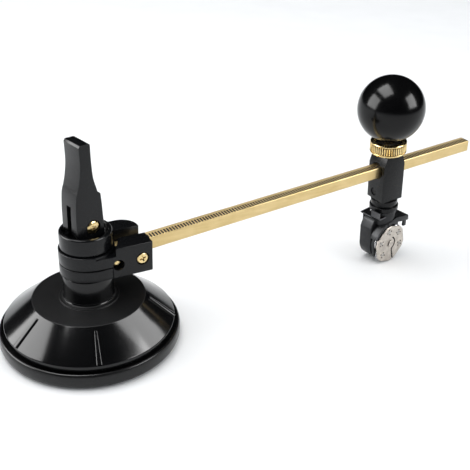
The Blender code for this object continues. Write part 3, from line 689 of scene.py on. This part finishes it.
def knurled(r_in, r, lo, hi, count):
    """Nut with a band of fine upright ridges between two smooth bands."""
    per = 6
    seg = count * per
    rows = [(r_in, lo), (r - 0.55, lo), (r - 0.18, lo + 0.12),
            (r - 0.02, lo + 0.38), (r, lo + 0.62), (r - 0.05, lo + 0.70)]
    kn0, kn1 = lo + 0.85, hi - 0.95
    mid = [(kn0, 0.0), (kn0 + 0.12, 1.0), (kn1 - 0.12, 1.0), (kn1, 0.0)]
    top = [(r - 0.05, hi - 0.74), (r, hi - 0.66), (r - 0.02, hi - 0.40),
           (r - 0.18, hi - 0.13), (r - 0.55, hi), (r - 1.45, hi),
           (r - 1.6, hi - 0.12), (4.7, hi - 0.75), (4.55, hi - 0.8),
           (r_in + 0.2, hi - 0.8), (r_in, hi - 0.95)]
    verts, n_rows = [], 0
    for rr, z in rows:
        verts += [(rr * math.cos(2 * math.pi * k / seg),
                   rr * math.sin(2 * math.pi * k / seg), z)
                  for k in range(seg)]
        n_rows += 1
    for z, amp in mid:
        for k in range(seg):
            ph = (k % per) / per
            ridge = 0.5 + 0.5 * math.cos(2 * math.pi * ph)
            rr = r - 0.45 + amp * (0.42 * ridge)
            verts.append((rr * math.cos(2 * math.pi * k / seg),
                          rr * math.sin(2 * math.pi * k / seg), z))
        n_rows += 1
    for rr, z in top:
        verts += [(rr * math.cos(2 * math.pi * k / seg),
                   rr * math.sin(2 * math.pi * k / seg), z)
                  for k in range(seg)]
        n_rows += 1
    faces = []
    for i in range(n_rows):
        j = (i + 1) % n_rows
        for k in range(seg):
            k2 = (k + 1) % seg
            faces.append([i * seg + k, i * seg + k2, j * seg + k2,
                          j * seg + k])
    return verts, faces


nut = piece("lock_nut", knurled(2.0, NUT_R, NUT_LOW, NUT_TOP, 46), HEAD, KNURL,
            "nut", (), 40)
# painted shade: the knurl's valleys and the recess on top under the ball take the
# near-black colour of the scale ticks
nut.data.materials.append(TICK_MARK_AND_SHADE)
to_head = HEAD.inverted()
for p in nut.data.polygons:
    c = to_head @ (p.center / MM)
    r = math.hypot(c.x, c.y)
    if NUT_LOW + 0.9 < c.z < NUT_TOP - 1.0 and r < NUT_R - 0.27:
        p.material_index = 1
    elif c.z > NUT_TOP - 0.9 and r < 4.62:
        p.material_index = 1
flat = math.sqrt(BALL_R ** 2 - (BALL_R - 0.3) ** 2)
low = BALL_R - 0.3
ball = [(1.95, BALL_W - low), (flat, BALL_W - low)]
a0 = math.degrees(math.asin(-low / BALL_R))
for i in range(1, 90):
    a = math.radians(a0 + (90 - a0) * i / 90)
    ball.append((BALL_R * math.cos(a), BALL_W + BALL_R * math.sin(a)))
ball += [(0, BALL_W + BALL_R), (0, 19.0), (1.95, 19.0)]
piece("ball_knob", turned(ball, 160), HEAD, BALL, "knob")
piece("neck_collar", turned(eased([
    (2.4, -16.8), (5.1, -16.8), (5.4, -16.5), (5.4, -14.8), (4.5, -14.7),
    (4.5, -14.3), (5.0, -14.2), (5.0, -12.4), (4.9, -12.3), (2.4, -12.3)],
    0.18, 4), 112), HEAD, BLOCKM, "head")

# ------------------------------------------------------------- turret head
carrier = "turret_carrier"
block_outline = ([(-HR, W), (-HR, W + 7.2), (-6.1, W + 10.2), (-4.8, W + 11.4),
                  (-2.8, W + 11.8), (5.2, W + 11.6), (8.2, W + 8.9),
                  (8.5, W + 5.2), (8.2, W + 0.8)]
                 + arc(0, W, HR, -5, -175, 60))
guard = (smooth_line([(-8.0, 4.2), (-7.1, 6.0), (-4.9, 8.25), (-2.0, 9.7),
                      (0.5, 10.3)], 6)
         + [(0.5, GUARD_R + 0.1)] + arc(0, 0, GUARD_R, 92, 152, 36))
guard = [(x, z + W) for x, z in guard]
wing = [(-2.0, 9.65), (2.4, 10.6), (9.2, 9.4), (9.4, 7.3), (7.6, 7.5),
        (5.4, 8.0), (2.7, 8.6), (0.0, 8.75), (-2.0, 8.5)]
wing = [(x, z + W) for x, z in wing]
piece("turret_housing", standing(block_outline, -1.1, HB), SWIVEL, DARK,
      carrier,
      [("round", 0.35, 4, 22),
       ("join", standing(guard, -4.6, -1.5)),
       ("join", standing(wing, -4.9, HB - 0.6)),
       ("join", box(6.9, 8.3, -4.8, -4.0, W + 5.2, W + 7.9)),
       ("join", rod(4.6, W + 8.6, -17.2, 96)),
       ("round", 0.16, 3, 40),
       ("cut", rod(2.3, W + 8.4, -10, 64)),
       ("cut", rod_y(5.5, 0, W, -6, 2.9, 112)),
       ("cut", rod_y(1.3, 0, W, 0, 9, 48)),
       ("cut", rod_y(1.0, -4.0, W, 2, 9, 40))], 28)


def strip(path, y0, y1, t):
    """A bent sheet: the path lies in (x, z) and the sheet runs along Y."""
    side_a, side_b = [], []
    n = len(path)
    for i in range(n):
        p0, p1 = Vector(path[max(i - 1, 0)]), Vector(path[min(i + 1, n - 1)])
        d = (p1 - p0).normalized()
        q = Vector((-d.y, d.x)) * (t / 2)
        side_a.append(tuple(Vector(path[i]) + q))
        side_b.append(tuple(Vector(path[i]) - q))
    return standing(side_a + side_b[::-1], y0, y1)


# the index spring: a strip over the housing, its front end turned up into a
# tab, with a leg down the housing's back that carries the detent tip
zb = W + 12.2
bend = ([(-1.0, zb)] + arc(-5.7, zb + 1.0, 1.0, 270, 180, 10)
        + [(-6.7, zb + 3.15), (-6.2, zb + 3.15)]
        + arc(-5.7, zb + 1.0, 0.5, 180, 270, 10) + [(-1.0, zb + 0.5)])
piece("index_spring", standing(bend, -4.0, 0.0), SWIVEL, SPRINGM, carrier,
      [("join", box(-6.7, -1.0, -0.3, HB + 0.8, zb, zb + 0.5)),
       ("join", box(-5.3, -2.9, HB + 0.3, HB + 0.8, W - 1.1, zb + 0.3)),
       ("join", rod_y(0.6, -4.0, W, 3.2, HB + 0.5, 40)),
       ("cut", rod(4.9, -24, -10, 96))], 30)


def six_sided(flat_d, clip_d):
    rc = flat_d / math.cos(math.radians(30))
    half = (rc - clip_d) * math.tan(math.radians(60))
    pts = []
    for k in range(6):
        a = math.radians(WHEEL_PHASE + 60 * k)
        c, s = math.cos(a), math.sin(a)
        for t in (-half, half):
            pts.append((clip_d * c - t * s, clip_d * s + t * c))
    return pts


wheels = [(WHEEL_PITCH_R * math.cos(math.radians(WHEEL_PHASE + 60 * k)),
           WHEEL_PITCH_R * math.sin(math.radians(WHEEL_PHASE + 60 * k)))
          for k in range(6)]
slot_line = smooth_line([(0.9, 2.6), (1.9, 1.5), (2.35, 0.0), (1.8, -1.4),
                         (0.9, -2.3), (0.75, -3.6)], 8)
slot_low = standing([(0.42, -3.3), (1.08, -3.3), (2.3, -8.6), (1.6, -8.6)],
                    -6.0, -4.5)
# the slots' and punch marks' cut walls take the painted-shade colour
plate_cuts = [("cut", strip(slot_line, -6.0, -4.55, 0.60), SLOT_SHADE),
              ("cut", slot_low, SLOT_SHADE)]
punches = []
for k, (x, z) in enumerate(wheels):
    for q in range(4 if k else 0):
        a = math.radians(30 + 90 * q + 25 * k)
        punches.append(rod_y(0.30, x + 1.02 * math.cos(a),
                             z + 1.02 * math.sin(a), -6.0, -4.62, 20))
piece("turret_plate", standing(six_sided(PLATE_FLAT, PLATE_CLIP), -4.9, -4.3),
      TURRET, PLATE, "turret",
      [("round", 0.22, 3, 20), ("cut", rod_y(1.3, 0, 0, -6, -3, 64))]
      + plate_cuts
      + [("cut", joined(*punches), SLOT_SHADE)]
      + [("cut", rod_y(0.75, x, z, -6, -3, 32)) for x, z in wheels], 28)
piece("turret_body", standing(six_sided(7.0, 7.4), -2.8, -1.4), TURRET,
      DARK, "turret",
      [("round", 0.18, 2, 25),
       ("join", rod_y(5.2, 0, 0, -2.0, 2.85, 112)),
       ("join", rod_y(1.9, 0, 0, -4.0, -2.0, 64)),
       ("cut", rod_y(1.3, 0, 0, -6, 6, 48))]
      + [("cut", rod_y(0.75, x, z, -4, -1.6, 32)) for x, z in wheels]
      + [("cut", rod_y(0.7, 4.0 * math.cos(math.radians(180 + 60 * k)),
                       4.0 * math.sin(math.radians(180 + 60 * k)), 2.3, 4,
                       32)) for k in range(6)], 28)
piece("turret_axle", along_y(eased([
    (0, -5.34), (1.3, -5.32), (1.5, -5.2), (1.0, -5.2), (1.0, HB + 1.0),
    (1.5, HB + 1.0), (1.4, HB + 1.35), (0, HB + 1.5)], 0.15, 4), 64),
    TURRET, PLATE, carrier)
piece("axle_washer", along_y(eased([
    (1.3, HB + 0.3), (2.3, HB + 0.3), (2.3, HB + 0.7), (1.3, HB + 0.7)],
    0.08, 2), 64), TURRET, STEEL, carrier)
for k, (x, z) in enumerate(wheels):
    # each wheel pin is staked: four small punch marks round its end, whose walls
    # are painted dark as shade
    marks = []
    for q in range(4):
        a = math.radians(45 + 90 * q + 20 * k)
        marks.append(rod_y(0.15, x + 0.30 * math.cos(a),
                           z + 0.30 * math.sin(a), -6.0, -4.82, 16))
    piece("wheel_axle_%d" % (k + 1), along_y(eased([
        (0, -4.95), (0.68, -4.95), (0.68, -4.35), (0.45, -4.35),
        (0.45, -1.9), (0, -1.9)], 0.07, 2), 40, x, 0, z), TURRET,
        STEEL if k else PLATE, "turret",
        [("cut", joined(*marks) if k else slot_low, SLOT_SHADE)])
    h = WHEEL_T / 2
    piece("cutting_wheel_%d" % (k + 1), along_y(
        [(0.75, -h), (WHEEL_R - 0.5, -h), (WHEEL_R, -0.04), (WHEEL_R, 0.04),
         (WHEEL_R - 0.5, h), (0.75, h)], 96, x, WHEEL_Y, z), TURRET, WHEELM,
        "wheel_%d" % (k + 1))

# ------------------------------------- carried-over nodes get real materials
looks = {"thrust_washer_lower": STEEL, "thrust_washer_upper": STEEL,
         "return_spring": STEEL, "pressure_pad": STEEL, "swivel_stem": STEEL}
for node, mat in looks.items():
    for s in frame["nodes"][node].material_slots:
        s.material = mat

# ------------------------------------------------------------ floor and light
floor_mat = Mat("floor_paper")
f_n = floor_mat.noise(30, 2.0)
floor_mat.link(floor_mat.ramp(f_n, [(0.3, (0.90, 0.90, 0.90)),
                                    (0.7, (0.92, 0.92, 0.92))]),
               floor_mat.b.inputs["Base Color"])
floor_mat.b.inputs["Roughness"].default_value = 0.9
floor_mat.b.inputs["Specular IOR Level"].default_value = 0.1
fl = bpy.data.objects.new("floor", mesh_from("floor", (
    [(-2500, -2500, 0), (2500, -2500, 0), (2500, 2500, 0), (-2500, 2500, 0)],
    [[0, 1, 2, 3]]), shift(60, 0, -0.02)))
fl.data.materials.append(floor_mat.m)
bpy.context.scene.collection.objects.link(fl)

BALL_C = (HEAD @ Vector((0, 0, BALL_W))) * MM


def soft_box(name, direction, across, width, height, radiance, dist=0.75,
             glossy=True, camera=False):
    """A rectangular light seen from the ball in the given direction;
    'across' is roughly the direction of its width."""
    d = Vector(direction).normalized()
    li = bpy.data.lights.new(name, "AREA")
    li.shape = "RECTANGLE"
    li.size, li.size_y = width, height
    li.energy = radiance * math.pi * width * height
    ob = bpy.data.objects.new(name, li)
    z = d
    x = Vector(across)
    x = (x - z * x.dot(z)).normalized()
    y = z.cross(x)
    p = BALL_C + d * dist
    ob.matrix_world = Matrix(((x.x, y.x, z.x, p.x), (x.y, y.y, z.y, p.y),
                              (x.z, y.z, z.z, p.z), (0, 0, 0, 1)))
    ob.visible_glossy = glossy
    ob.visible_camera = camera
    bpy.context.scene.collection.objects.link(ob)
    return ob


soft_box("overhead", (-0.33, 0.14, 0.79), (0.35, 1.0, 0), 0.62, 0.42, 2.7)
soft_box("left_box", (-0.76, 0.33, 0.30), (0.45, 0.85, 0), 0.52, 0.46, 2.2)
soft_box("right_box", (0.51, -0.62, 0.45), (0.80, 0.45, 0), 0.42, 0.46, 2.0)
soft_box("fill_top", (0.2, 0.1, 1.0), (1, 0, 0), 2.4, 2.4, 0.90, 1.5, False)
for nm, dr, ac, w_, h_, rad in (
        ("overhead_gloss", (-0.33, 0.14, 0.79), (0.35, 1.0, 0), 0.62, 0.42, 7.5),
        ("left_gloss", (-0.76, 0.33, 0.30), (0.45, 0.85, 0), 0.52, 0.46, 7.0),
        ("right_gloss", (0.51, -0.62, 0.45), (0.80, 0.45, 0), 0.42, 0.46, 8.5)):
    soft_box(nm, dr, ac, w_, h_, rad, 0.76).visible_diffuse = False

# a card that only the base sees, for the broad light down the cone's right
card = soft_box("base_card", (0.30, -0.10, 0.35), (0, 1, 0), 0.30, 0.42, 9.0,
                0.45)
card.visible_diffuse = False
seen_by = bpy.data.collections.new("base_only")
seen_by.objects.link(shell)
card.light_linking.receiver_collection = seen_by
# and one behind the bar that lights its marked face only
back = soft_box("bar_card", (0.45, 0.72, 0.48), (1, -0.6, 0), 1.3, 0.6, 0.62,
                0.7)
back.visible_diffuse = False
bar_only = bpy.data.collections.new("bar_only")
bar_only.objects.link(bar_ob)
back.light_linking.receiver_collection = bar_only

world = bpy.data.worlds.new("studio")
bpy.context.scene.world = world
world.use_nodes = True
bg = world.node_tree.nodes["Background"]
bg.inputs["Color"].default_value = (0.9, 0.95, 1.0, 1)
bg.inputs["Strength"].default_value = 0.47
world.cycles_visibility.glossy = False

# ---------------------------------------------------------------- the camera
C = Vector((-56.9773, -186.3088, 142.2493)) * MM
az, el, roll = [math.radians(v) for v in (30.3323, 28.6266, 2.8771)]
d = Vector((math.sin(az) * math.cos(el), math.cos(az) * math.cos(el),
            -math.sin(el)))
r = Vector((math.cos(az), -math.sin(az), 0))
u = r.cross(d)
r2 = math.cos(roll) * r + math.sin(roll) * u
u2 = -math.sin(roll) * r + math.cos(roll) * u
cd = bpy.data.cameras.new("camera")
cd.sensor_width = 36
cd.lens = 55.2592
cd.clip_start = 0.01
cam = bpy.data.objects.new("camera", cd)
cam.matrix_world = Matrix(((r2.x, u2.x, -d.x, C.x), (r2.y, u2.y, -d.y, C.y),
                           (r2.z, u2.z, -d.z, C.z), (0, 0, 0, 1)))
bpy.context.scene.collection.objects.link(cam)
bpy.context.scene.camera = cam
bpy.context.scene.view_settings.view_transform = "Standard"
